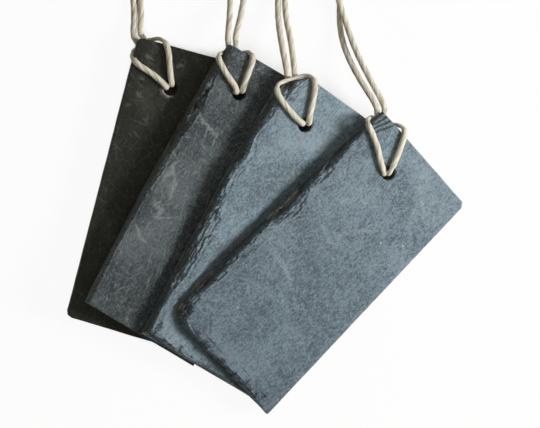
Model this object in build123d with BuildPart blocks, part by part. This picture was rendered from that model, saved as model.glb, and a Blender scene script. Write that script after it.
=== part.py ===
# Four slate hanging labels lying in a fan, each with a loop of cotton cord hitched through its corner hole.
import os
from math import pi, radians, tan

from build123d import *

# Stone, the same for every label
slate_thickness = 5.5
hole_diameter = 6.0
dressed_floor = 1.0  # stone left under a chipped edge at the outline

# Cord
cord_diameter = 2.4
cord_gap = 0.1  # between the cord and what it lies on
cord_pair = 2.5  # between the middles of two strands side by side
exit_pair = 3.2  # the same where they leave the hitch
hole_shift = 0.8  # the pair sits this far towards the corner in its hole
hole_bend = 1.5
wrap_bend = 1.4
under_bend = 2.2
wrap_slant = 2.4  # the cord moves this far towards the corner on its way behind the stone
joint_gap = 0.35  # between the hitch and the loop that swings from it
bend_share = 0.45  # of the shorter run beside a bend, which its arc may use

# Knot
core_radius = 2.6
turn_radius = 3.2
turn_pitch = 2.6
knot_turns = 2
knot_lead = 0.6  # bare core at each end of the turns
knot_entry = 8.0  # straight cord before the knot
tail_length = 11.0
tail_splay = 2.6

# Each label is measured from the corner with the hole: x along its top edge, y up its long left edge.
# A dressing is the line where a chipped edge starts on the face, each point with its foot at the outline.
# Its last two points close the outline of what the chipping takes away, on both levels.
# A wrap is where the cord passes an edge of the stone on its face.
# The fan: each label leans on the one before and its right edge is near the table.
labels = [
    {
        "number": 1,
        "tip": (-51.1, 76.9),
        "tip_rise": 0.85,
        "lean": 15.0,
        "roll": 6.2,
        "pitch": 0.0,
        "outline": [(-1.4, 0), (52.0, 0), (52.0, -120.8), (-0.3, -119.0)],
        "corner_rounds": [2.4, 2.4, 2.4, 2.4],
        "dressings": [],
        "hole": (17.0, 17.2),
        "left_wrap": (-1.35, -9.4),
        "top_wrap": (9.8, 0),
        "exit_side": -0.7,
        "exit_out": 0.8,
        "left_route": [(-53.8, 85.2, 2.4), (-54.4, 94.8, 1.3), (-54.3, 107.8, 1.3), (-52.6, 120.8, 1.6)],
        "right_route": [(-50.9, 85.8, 2.4), (-51.4, 95.3, 1.3), (-51.3, 107.8, 1.3), (-49.8, 120.3, 1.6)],
        "strands_cross": False,
        "knot": (-48.2, 140.8),
        "knot_heading": 7.0,
    },
    {
        "number": 2,
        "tip": (-14.7, 74.0),
        "tip_rise": 2.25,
        "lean": 29.6,
        "roll": 13.9,
        "pitch": -2.4,
        "outline": [(0, 0), (52.0, 0), (52.0, -122.9), (-0.8, -121.6), (-2.3, -70.0), (-1.9, -9.0)],
        "corner_rounds": [0.8, 0.8, 0.8, 0.8, 0, 0],
        "dressings": [
            [
                ((0.6, 1.0), (0.3, 1.0)),
                ((0.9, -6.0), (-1.0, -6.0)),
                ((2.0, -15.0), (-1.6, -15.0)),
                ((2.4, -30.0), (-1.7, -30.0)),
                ((1.2, -45.0), (-1.8, -45.0)),
                ((0.4, -60.0), (-1.9, -60.0)),
                ((-0.6, -75.0), (-1.9, -75.0)),
                ((-0.4, -90.0), (-1.4, -90.0)),
                ((0.1, -105.0), (-1.0, -105.0)),
                ((0.5, -124.0), (-0.4, -124.0)),
                ((-12.0, -124.0), (-12.0, -124.0)),
                ((-12.0, 1.0), (-12.0, 1.0)),
            ],
        ],
        "hole": (12.8, 15.7),
        "left_wrap": (-1.6, -6.9),
        "top_wrap": (9.3, 0),
        "exit_side": 1.8,
        "exit_out": 0.8,
        "left_route": [(-14.3, 85.8, 7.4), (-14.0, 96.3, 3.0), (-13.5, 107.3, 1.3), (-12.0, 118.3, 1.6)],
        "right_route": [(-9.9, 85.2, 7.4), (-8.2, 95.3, 3.0), (-7.6, 106.8, 1.3), (-8.3, 117.8, 1.6)],
        "strands_cross": False,
        "knot": (-9.2, 137.8),
        "knot_heading": 4.0,
    },
    {
        "number": 3,
        "tip": (14.7, 62.4),
        "tip_rise": 0.45,
        "lean": 31.0,
        "roll": 18.1,
        "pitch": -1.1,
        "outline": [
            (-6.0, -9.3),
            (3.6, -0.3),
            (52.0, -3.6),
            (52.0, -125.5),
            (-1.5, -125.5),
            (-4.0, -85.0),
            (-5.9, -45.0),
        ],
        "corner_rounds": [0.8, 0.8, 0.8, 0.8, 0.8, 0, 0],
        "dressings": [
            [
                ((3.8, 1.0), (3.4, 1.0)),
                ((1.2, -4.5), (-1.2, -4.4)),
                ((-0.3, -12.4), (-5.6, -11.0)),
                ((-1.2, -17.2), (-5.7, -17.2)),
                ((-3.3, -26.2), (-5.7, -26.2)),
                ((-4.2, -32.1), (-5.6, -32.1)),
                ((-1.9, -39.0), (-5.6, -39.0)),
                ((-3.9, -48.9), (-5.4, -48.9)),
                ((-3.2, -53.3), (-5.2, -53.3)),
                ((-1.9, -60.4), (-4.9, -60.4)),
                ((0.0, -70.0), (-4.4, -70.0)),
                ((0.9, -76.3), (-4.1, -76.3)),
                ((1.1, -86.4), (-3.6, -86.4)),
                ((2.0, -89.1), (-3.4, -89.1)),
                ((1.6, -96.4), (-3.0, -96.4)),
                ((-0.3, -100.2), (-2.8, -100.2)),
                ((-0.8, -105.9), (-2.4, -105.9)),
                ((-0.4, -114.1), (-1.9, -114.1)),
                ((0.6, -119.7), (-1.6, -119.7)),
                ((2.4, -127.0), (-1.2, -127.0)),
                ((-14.0, -127.0), (-14.0, -127.0)),
                ((-14.0, 1.0), (-14.0, 1.0)),
            ],
            [
                ((-8.0, -120.4), (-8.0, -124.8)),
                ((4.0, -122.8), (2.5, -125.2)),
                ((13.0, -123.2), (13.0, -125.2)),
                ((22.0, -124.4), (22.0, -125.2)),
                ((32.0, -123.8), (32.0, -125.2)),
                ((42.0, -124.9), (42.0, -125.3)),
                ((53.5, -125.4), (53.5, -125.5)),
                ((53.5, -135.0), (53.5, -135.0)),
                ((-8.0, -135.0), (-8.0, -135.0)),
            ],
        ],
        "hole": (11.9, 17.8),
        "left_wrap": (-6.0, -12.2),
        "top_wrap": (5.6, -0.4),
        "exit_side": -3.6,
        "exit_out": -1.5,
        "left_route": [(7.0, 74.0, 11.6), (5.5, 84.8, 6.4), (5.6, 95.8, 2.2), (7.2, 106.8, 1.6)],
        "right_route": [(10.9, 75.3, 11.6), (8.6, 85.8, 6.4), (8.4, 96.3, 2.2), (10.5, 106.8, 1.6)],
        "strands_cross": False,
        "knot": (11.6, 125.8),
        "knot_heading": 7.0,
    },
    {
        "number": 4,
        "tip": (48.2, 46.3),
        "tip_rise": -5.45,
        "lean": 46.1,
        "roll": 17.2,
        "pitch": -3.2,
        "outline": [
            (0, 0),
            (50.9, -1.9),
            (52.6, -4.2),
            (57.0, -121.0),
            (1.7, -120.6),
            (-2.4, -116.5),
            (-3.6, -104.0),
            (-1.6, -18.0),
        ],
        "corner_rounds": [0.8, 0.8, 0.8, 0.8, 0.8, 0.8, 0, 0],
        "dressings": [
            [
                ((0.4, 0.8), (0.1, 0.8)),
                ((0.2, -4.0), (-0.1, -4.0)),
                ((-0.2, -11.2), (-0.8, -11.2)),
                ((-0.8, -19.2), (-1.35, -19.2)),
                ((0.6, -26.5), (-1.5, -26.5)),
                ((1.9, -34.4), (-1.7, -34.4)),
                ((0.7, -43.9), (-1.9, -43.9)),
                ((2.3, -47.1), (-2.0, -47.1)),
                ((4.1, -53.0), (-2.1, -53.0)),
                ((2.0, -61.0), (-2.3, -61.0)),
                ((-0.7, -67.2), (-2.4, -67.2)),
                ((0.2, -75.2), (-2.6, -75.2)),
                ((-1.0, -81.1), (-2.8, -81.1)),
                ((0.2, -84.9), (-2.9, -84.9)),
                ((0.2, -92.9), (-3.0, -92.9)),
                ((0.5, -98.5), (-3.2, -98.5)),
                ((-0.1, -104.5), (-3.2, -104.5)),
                ((-0.2, -110.7), (-2.6, -110.7)),
                ((3.2, -116.4), (-1.8, -116.6)),
                ((6.5, -122.0), (2.6, -122.0)),
                ((-12.0, -122.0), (-12.0, -122.0)),
                ((-12.0, 0.8), (-12.0, 0.8)),
            ],
            [
                ((-8.0, -113.5), (-8.0, -117.5)),
                ((6.0, -118.2), (2.0, -120.2)),
                ((10.3, -119.0), (10.3, -120.4)),
                ((19.1, -118.6), (19.1, -120.4)),
                ((27.5, -119.1), (27.5, -120.5)),
                ((33.8, -118.4), (33.8, -120.5)),
                ((41.5, -118.2), (41.5, -120.6)),
                ((52.1, -120.2), (52.1, -120.7)),
                ((59.0, -120.9), (59.0, -121.0)),
                ((59.0, -131.0), (59.0, -131.0)),
                ((-8.0, -131.0), (-8.0, -131.0)),
            ],
        ],
        "hole": (19.3, 16.0),
        "left_wrap": (-1.2, -7.6),
        "top_wrap": (10.7, -0.3),
        "exit_side": -0.1,
        "exit_out": 0.8,
        "left_route": [
            (39.6, 58.7, 12.4),
            (34.2, 69.0, 7.0),
            (31.2, 79.3, 2.2),
            (31.0, 90.8, 1.3),
            (32.4, 99.8, 1.6),
        ],
        "right_route": [
            (42.2, 61.6, 12.4),
            (36.8, 73.2, 7.4),
            (33.6, 83.3, 4.6),
            (30.2, 93.3, 4.6),
            (29.3, 101.8, 3.4),
        ],
        "strands_cross": True,
        "knot": (31.2, 118.8),
        "knot_heading": 3.0,
    },
]

# Heights of the cord above and below the stone, measured from the stone's back
cord_radius = cord_diameter / 2
cord_lay = cord_radius + cord_gap
back_level = -cord_lay
under_level = -(cord_lay + cord_diameter + cord_gap)
front_level = slate_thickness + cord_lay
knot_level = turn_radius
knot_length = knot_turns * turn_pitch + 2 * knot_lead


def label_plane(label):
    # The back of a label, with its origin at the corner by the hole
    below = (label["number"] - 1) * slate_thickness
    height = 2 * cord_diameter + below + label["tip_rise"]
    turns = [(Axis.X, label["pitch"]), (Axis.Y, label["roll"]), (Axis.Z, -label["lean"])]
    along_top = Vector(1, 0, 0)
    face_out = Vector(0, 0, 1)
    for axis, angle in turns:
        along_top = along_top.rotate(axis, angle)
        face_out = face_out.rotate(axis, angle)
    return Plane(origin=(*label["tip"], height), x_dir=along_top, z_dir=face_out)


def knot_plane(label):
    # The face of the knot that the strands enter, with its normal along the loop
    x, y = label["knot"]
    ahead = Vector(0, 1, 0).rotate(Axis.Z, -label["knot_heading"])
    aside = Vector(1, 0, 0).rotate(Axis.Z, -label["knot_heading"])
    return Plane(origin=(x, y, knot_level), x_dir=aside, z_dir=ahead)


def corner_directions(label):
    # Unit vectors on the stone's back: from the hole to the corner, and across that line to the right
    hole_x, hole_y = label["hole"]
    outward = Vector(-hole_x, hole_y, 0).normalized()
    across = Vector(hole_y, hole_x, 0).normalized()
    return outward, across


def make_slate(label):
    plane = label_plane(label)
    hole_x, hole_y = label["hole"]
    with BuildPart() as slate:
        with BuildSketch(plane):
            with BuildLine():
                FilletPolyline(*label["outline"], radius=label["corner_rounds"], close=True)
            make_face()
            with Locations((hole_x, -hole_y)):
                Circle(hole_diameter / 2, mode=Mode.SUBTRACT)
        extrude(amount=slate_thickness)
        for dressing in label["dressings"]:
            face_edge, foot_edge = zip(*dressing)
            for level, edge in ((slate_thickness, face_edge), (dressed_floor, foot_edge)):
                with BuildSketch(plane.offset(level)):
                    with BuildLine():
                        Polyline(*edge, close=True)
                    make_face()
            loft(ruled=True, mode=Mode.SUBTRACT)
    return slate.part


def hitch_points(label):
    # The cord's corners from one strand, through the hole, round the corner and back to the other strand
    outward, across = corner_directions(label)
    hole_x, hole_y = label["hole"]
    seat = Vector(hole_x, -hole_y, 0) + outward * hole_shift
    exit_middle = outward * label["exit_out"] + across * label["exit_side"]
    half_pair = across * (cord_pair / 2)
    half_exit = across * (exit_pair / 2)
    back = Vector(0, 0, back_level)
    front = Vector(0, 0, front_level)
    under = Vector(0, 0, under_level)
    left_edge = Vector(*label["left_wrap"], 0) + Vector(-cord_lay, 0, 0)
    top_edge = Vector(*label["top_wrap"], 0) + Vector(0, cord_lay, 0)
    left_behind = left_edge + Vector(0, wrap_slant, 0)
    top_behind = top_edge + Vector(-wrap_slant, 0, 0)
    return [
        exit_middle - half_exit + back,
        seat - half_pair + back,
        seat - half_pair + front,
        left_edge + front,
        left_behind + under,
        top_behind + under,
        top_edge + front,
        seat + half_pair + front,
        seat + half_pair + back,
        exit_middle + half_exit + back,
    ]


def make_hitch(label):
    plane = label_plane(label)
    points = [plane.from_local_coords(point) for point in hitch_points(label)]
    turn_in = [hole_bend, hole_bend, wrap_bend, under_bend]
    with BuildPart() as hitch:
        with BuildLine() as route:
            FilletPolyline(*points, radius=turn_in + turn_in[::-1])
        with BuildSketch(Plane(origin=route.line @ 0, z_dir=route.line % 0)):
            Circle(cord_radius)
        sweep()
    return hitch.part


def strand_points(label, side):
    # A free strand from its joint at the hitch to the knot. Side is -1 for left and 1 for right.
    plane = label_plane(label)
    outward, _ = corner_directions(label)
    hitch_end = hitch_points(label)[0 if side < 0 else -1]
    start = plane.from_local_coords(hitch_end + outward * (cord_radius + joint_gap))
    entry = knot_plane(label)
    knot_side = -side if label["strands_cross"] else side
    beside = knot_side * cord_pair / 2
    route = label["left_route"] if side < 0 else label["right_route"]
    before_knot = entry.from_local_coords((beside, 0, -knot_entry))
    at_knot = entry.from_local_coords((beside, 0, 0))
    return [start, *(Vector(*point) for point in route), before_knot, at_knot]


def bend_radii(points):
    # The largest arc that the two runs at each point leave room for
    radii = []
    for before, point, after in zip(points, points[1:], points[2:]):
        run_in = point - before
        run_out = after - point
        turn = radians(run_in.get_angle(run_out))
        radii.append(bend_share * min(run_in.length, run_out.length) / tan(turn / 2))
    return radii


def make_strand(label, side):
    points = strand_points(label, side)
    radii = bend_radii(points)
    with BuildPart() as strand:
        with BuildLine() as route:
            FilletPolyline(*points, radius=radii)
        with BuildSketch(Plane(origin=route.line @ 0, z_dir=route.line % 0)):
            Circle(cord_radius)
        sweep()
        tube = strand.part.volume
        with Locations(points[0]):
            Sphere(cord_radius)
    length = route.wire().length
    share = tube / (pi * cord_radius**2 * length)
    word = "left" if side < 0 else "right"
    print(
        f"label {label['number']} {word} strand: length {length:.1f},",
        f"tightest bend {min(radii):.1f}, volume share {share:.4f}",
    )
    return strand.part


def make_knot(label):
    entry = knot_plane(label)
    with BuildPart() as knot:
        with BuildSketch(entry):
            Circle(core_radius)
        extrude(amount=knot_length)
        for turn in range(knot_turns):
            with Locations(entry.offset(knot_lead + (turn + 0.5) * turn_pitch)):
                Torus(turn_radius - cord_radius, cord_radius)
        for side in (-1, 1):
            root = entry.from_local_coords((side * cord_pair / 2, 0, knot_length - knot_lead))
            out = entry.from_local_coords((side * tail_splay, 0, knot_length + tail_length))
            floor_end = Vector(out.X, out.Y, cord_lay)
            with BuildLine() as tail:
                Line(root, floor_end)
            with BuildSketch(Plane(origin=tail.line @ 0, z_dir=tail.line % 0)):
                Circle(cord_radius)
            sweep(path=tail.line)
    return knot.part


os.makedirs("parts", exist_ok=True)
for label in labels:
    number = label["number"]
    pieces = {
        f"slate_{number}": make_slate(label),
        f"hitch_{number}": make_hitch(label),
        f"loop_{number}_left": make_strand(label, -1),
        f"loop_{number}_right": make_strand(label, 1),
        f"knot_{number}": make_knot(label),
    }
    for name, piece in pieces.items():
        piece.label = name
        export_step(piece, f"parts/{name}.step")
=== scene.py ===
# Four slate labels in a fan, each with a loop of cotton cord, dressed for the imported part.
import math

import bmesh
import bpy
from mathutils import Matrix, Vector, noise


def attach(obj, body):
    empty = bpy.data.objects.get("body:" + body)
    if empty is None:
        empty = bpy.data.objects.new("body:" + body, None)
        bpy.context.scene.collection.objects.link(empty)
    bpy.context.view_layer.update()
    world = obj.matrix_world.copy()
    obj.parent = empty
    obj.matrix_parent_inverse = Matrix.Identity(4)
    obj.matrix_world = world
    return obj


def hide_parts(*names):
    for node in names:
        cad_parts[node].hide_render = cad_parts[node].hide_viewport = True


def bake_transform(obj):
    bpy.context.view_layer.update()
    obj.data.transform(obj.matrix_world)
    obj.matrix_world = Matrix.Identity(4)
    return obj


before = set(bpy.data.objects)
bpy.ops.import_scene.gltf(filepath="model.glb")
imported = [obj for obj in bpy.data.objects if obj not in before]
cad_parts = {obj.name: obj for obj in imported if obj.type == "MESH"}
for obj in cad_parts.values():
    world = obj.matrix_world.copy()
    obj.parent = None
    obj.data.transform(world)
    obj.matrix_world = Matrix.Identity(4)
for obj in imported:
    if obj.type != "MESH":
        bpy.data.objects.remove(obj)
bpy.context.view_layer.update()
scene = bpy.context.scene
scene.view_settings.view_transform = "Standard"
milli = 0.001
print("frame loaded:", len(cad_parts), "nodes")


# Camera, straight above the table
cameraSet = {"height": 2.0, "aimX": 0.00228, "aimY": 0.00406, "pictureWidth": 0.22356, "sensor": 36.0}
cameraData = bpy.data.cameras.new("camera")
cameraData.sensor_width = cameraSet["sensor"]
cameraData.lens = cameraSet["sensor"] * cameraSet["height"] / cameraSet["pictureWidth"]
camera = bpy.data.objects.new("camera", cameraData)
camera.location = (cameraSet["aimX"], cameraSet["aimY"], cameraSet["height"])
scene.collection.objects.link(camera)
scene.camera = camera


# Shader maths on sockets
class Value:
    def __init__(self, tree, socket):
        self.tree = tree
        self.socket = socket

    def maths(self, operation, other):
        return Finish(self.tree).node("ShaderNodeMath", {"operation": operation}, {0: self, 1: other})

    def __add__(self, other):
        return self.maths("ADD", other)

    def __mul__(self, other):
        return self.maths("MULTIPLY", other)

    __radd__ = __add__
    __rmul__ = __mul__


class Finish:
    def __init__(self, tree):
        self.tree = tree

    def feed(self, socket, value):
        if isinstance(value, Value):
            self.tree.links.new(value.socket, socket)
        else:
            socket.default_value = value

    def node(self, kind, settings=None, sockets=None, output=0):
        made = self.tree.nodes.new(kind)
        for key, value in (settings or {}).items():
            if key == "stops":
                ramp = made.color_ramp.elements
                while len(ramp) < len(value):
                    ramp.new(1.0)
                for element, (place, shade) in zip(ramp, value):
                    element.position = place
                    element.color = (shade, shade, shade, 1.0)
            else:
                setattr(made, key, value)
        for key, value in (sockets or {}).items():
            self.feed(made.inputs[key], value)
        return Value(self.tree, made.outputs[output])

    def blend(self, factor, first, second, way="MIX"):
        settings = {"data_type": "RGBA", "blend_type": way}
        return self.node("ShaderNodeMix", settings, {0: factor, 6: first, 7: second}, 2)

    def ramp(self, value, stops):
        return self.node("ShaderNodeValToRGB", {"stops": stops}, {"Fac": value})

    def bump(self, shader, height, strength, distance):
        sockets = {"Height": height, "Strength": strength, "Distance": distance}
        self.feed(shader.inputs["Normal"], self.node("ShaderNodeBump", None, sockets))

    def grain(self, place, scale, detail=3.0, rough=0.55, warp=0.0):
        sockets = {"Vector": place, "Scale": scale, "Detail": detail, "Roughness": rough}
        return self.node("ShaderNodeTexNoise", None, sockets | {"Distortion": warp})

    def drawn(self, place, angle, stretch):
        # The same place in a frame turned by the angle and drawn out along its length
        turn = (0, 0, math.radians(angle))
        sockets = {"Vector": place, "Rotation": turn, "Scale": (1, stretch, 1)}
        return self.node("ShaderNodeMapping", {"vector_type": "TEXTURE"}, sockets)

    def attribute(self, name, output="Fac"):
        return self.node("ShaderNodeAttribute", {"attribute_name": name}, None, output)


def newMaterial(name):
    material = bpy.data.materials.new(name)
    material.use_nodes = True
    return material, Finish(material.node_tree), material.node_tree.nodes["Principled BSDF"]


def newPiece(name, shape, material):
    mesh = bpy.data.meshes.new(name)
    shape.to_mesh(mesh)
    shape.free()
    mesh.materials.append(material)
    piece = bpy.data.objects.new(name, mesh)
    scene.collection.objects.link(piece)
    return piece


# Table and light: a lamp low on the right, a wide weak one overhead, and a warm sky.
# The table's cover is how open it is where its shadow turns white, and where it is most covered, under the
# holes, it has a painted shade of dark brown.
studio = {
    "floorSize": 3.0,
    "floorDrop": 0.0002,
    "floorTone": (0.9, 0.9, 0.9, 1),
    "deepShadeTone": (0.16, 0.10, 0.06, 1),
    "floorWhite": 0.94,
    "floorReach": 0.03,
    "floorCover": [(0.3, 0.0), (0.5, 1.0)],
    "floorDeepShade": [(0.14, 0.0), (0.28, 1.0)],
    "skyLight": 0.14,
    "skyTone": (1.0, 0.94, 0.82, 1),
    "keyPlace": (0.75, -0.05, 0.53),
    "keySize": 0.30,
    "keyPower": 8.5,
    "keyTone": (1.0, 1.0, 1.0),
    "fillPlace": (0.10, 0.35, 1.10),
    "fillSize": 0.9,
    "fillPower": 1.2,
    "fillTone": (1.0, 0.96, 0.88),
}


def seenRays(finish):
    direct, glossy, through = [
        finish.node("ShaderNodeLightPath", None, None, ray)
        for ray in ("Is Camera Ray", "Is Glossy Ray", "Is Transmission Ray")
    ]
    return direct.maths("MAXIMUM", glossy.maths("MAXIMUM", through))


def tableFinish():
    material = bpy.data.materials.new("tableWhite")
    material.use_nodes = True
    tree = material.node_tree
    tree.nodes.clear()
    finish = Finish(tree)
    clear = finish.node("ShaderNodeAmbientOcclusion", None, {"Distance": studio["floorReach"]}, "AO")
    share = seenRays(finish) * studio["floorWhite"] * finish.ramp(clear, studio["floorCover"])
    # painted shade: dark brown where the table is most covered, seen through the holes
    tone = finish.blend(finish.ramp(clear, studio["floorDeepShade"]), studio["deepShadeTone"], studio["floorTone"])
    matt = finish.node("ShaderNodeBsdfDiffuse", None, {"Color": tone})
    white = finish.node("ShaderNodeEmission", None, {"Color": (1, 1, 1, 1), "Strength": 1.0})
    both = finish.node("ShaderNodeMixShader", None, {0: share, 1: matt, 2: white})
    out = tree.nodes.new("ShaderNodeOutputMaterial")
    finish.feed(out.inputs["Surface"], both)
    return material


def makeTable():
    shape = bmesh.new()
    bmesh.ops.create_grid(shape, x_segments=1, y_segments=1, size=studio["floorSize"] / 2)
    bmesh.ops.translate(shape, verts=shape.verts, vec=(0, 0, -studio["floorDrop"]))
    table = newPiece("table", shape, tableFinish())


def makeLamp(name, place, size, power, tone):
    lampData = bpy.data.lights.new(name, "AREA")
    lampData.shape = "DISK"
    lampData.size = size
    lampData.energy = power
    lampData.color = tone
    lamp = bpy.data.objects.new(name, lampData)
    lamp.location = place
    lamp.rotation_euler = (-Vector(place)).to_track_quat("-Z", "Y").to_euler()
    scene.collection.objects.link(lamp)


def makeSky():
    world = bpy.data.worlds.new("sky")
    scene.world = world
    world.use_nodes = True
    finish = Finish(world.node_tree)
    backdrop = world.node_tree.nodes["Background"]
    seen = seenRays(finish)
    finish.feed(backdrop.inputs["Color"], finish.blend(seen, studio["skyTone"], (1, 1, 1, 1)))
    finish.feed(backdrop.inputs["Strength"], seen * (1 - studio["skyLight"]) + studio["skyLight"])


makeTable()
makeSky()
for lamp in ("key", "fill"):
    makeLamp(lamp + "Lamp", *(studio[lamp + word] for word in ("Place", "Size", "Power", "Tone")))
print("table and light made")


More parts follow.
